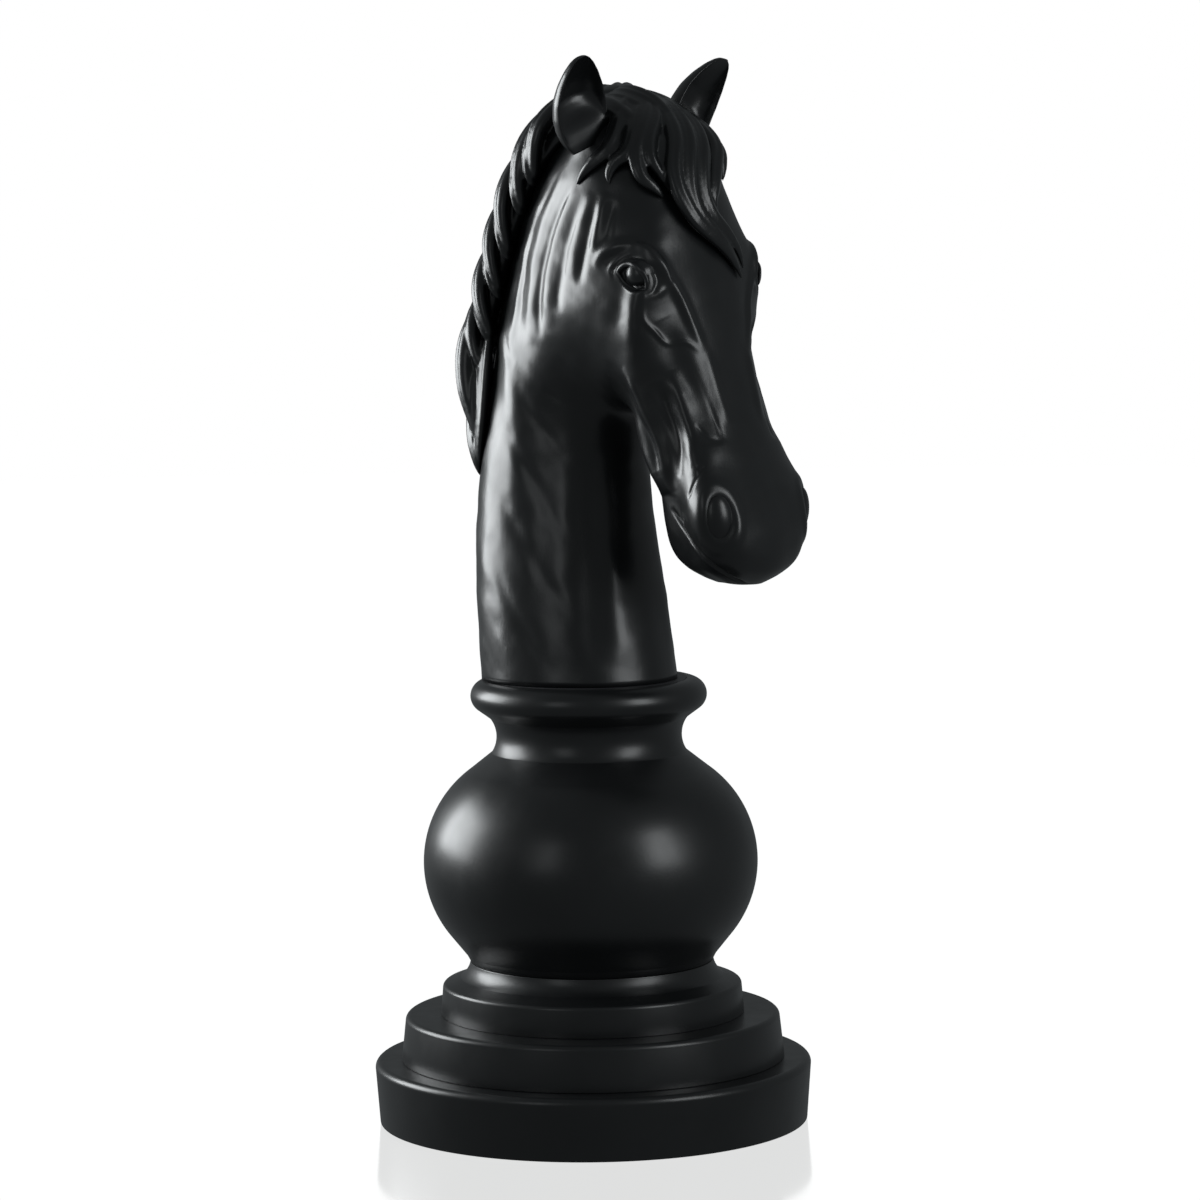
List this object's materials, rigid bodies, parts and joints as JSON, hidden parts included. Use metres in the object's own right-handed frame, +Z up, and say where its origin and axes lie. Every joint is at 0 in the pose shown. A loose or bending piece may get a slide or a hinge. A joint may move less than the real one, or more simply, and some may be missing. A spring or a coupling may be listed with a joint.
{
  "type": "giant chess knight",
  "caption": "Large free-standing chess knight: horse's head on a turned bulb and stepped round base, in three sections clamped by a hidden tie rod.",
  "frame": {"origin": "on the floor under the middle of the round base, in the plane of the foot ring's underside", "axes": "+Z up; the horse looks along -Y, so its right side is -X"},
  "size_m": [0.375, 0.4007, 0.9079],
  "materials": {
    "satin_black_turned": "satin moulded black, smooth turned surfaces",
    "satin_black_carved": "satin moulded black with a faint brushed and hand-finished texture",
    "black_fitting": "fine grained black",
    "rubber": "matt black",
    "grey_moulding": "plain dark grey moulding",
    "zinc_steel": "zinc plated",
    "sand_fill": "packed dry sand"
  },
  "bodies": {
    "plinth": {"foot_ring": "rubber", "base_plate": "grey_moulding", "base_plate_screws": "zinc_steel", "lower_tier": "satin_black_turned", "ballast": "sand_fill", "middle_tier": "satin_black_turned", "upper_tier": "satin_black_turned", "lower_tier_screws": "zinc_steel", "upper_tier_screws": "zinc_steel"},
    "seal": {"plug_seal": "rubber"},
    "plug": {"fill_plug": "black_fitting"},
    "washer": {"clamp_washer": "zinc_steel"},
    "clamp": {"clamp_knob": "grey_moulding", "tie_rod": "zinc_steel"},
    "body_section": {"bulb_shell": "satin_black_turned", "bulb_plate": "grey_moulding", "bulb_plate_screws": "zinc_steel", "spacer_tube": "grey_moulding", "collar_plate": "grey_moulding"},
    "head_section": {"horse_shell": "satin_black_carved", "neck_plate": "grey_moulding", "neck_plate_screws": "zinc_steel", "captive_nut": "zinc_steel", "nut_cover": "grey_moulding", "mane": "satin_black_carved", "forelock": "satin_black_carved", "ear_right": "satin_black_carved", "ear_left": "satin_black_carved", "eye_right": "satin_black_carved", "eye_left": "satin_black_carved"}
  },
  "joints": [
    {"name": "plug_travel", "type": "slide", "parent": "plinth", "child": "seal", "axis": [0, 1, 0], "range_m": [0, 0.0165]},
    {"name": "plug_spin", "type": "hinge", "parent": "seal", "child": "plug", "pos_m": [0, 0.19, 0.029], "axis": [0, -1, 0], "range_deg": [0, 1485]},
    {"name": "clamp_travel", "type": "slide", "parent": "plinth", "child": "washer", "axis": [0, 0, -1], "range_m": [0, 0.014]},
    {"name": "clamp_spin", "type": "hinge", "parent": "washer", "child": "clamp", "pos_m": [0, 0, 0.037], "axis": [0, 0, 1], "range_deg": [0, 2880]},
    {"name": "body_lift", "type": "slide", "parent": "plinth", "child": "body_section", "axis": [0, 0, 1], "range_m": [0, 0.06]},
    {"name": "head_lift", "type": "slide", "parent": "body_section", "child": "head_section", "axis": [0, 0, 1], "range_m": [0, 0.08]}
  ],
  "couplings": [
    {"joint": "plug_travel", "follows": "plug_spin", "m_per_rad": 0.00063662},
    {"joint": "clamp_travel", "follows": "clamp_spin", "m_per_rad": 0.00027852}
  ]
}
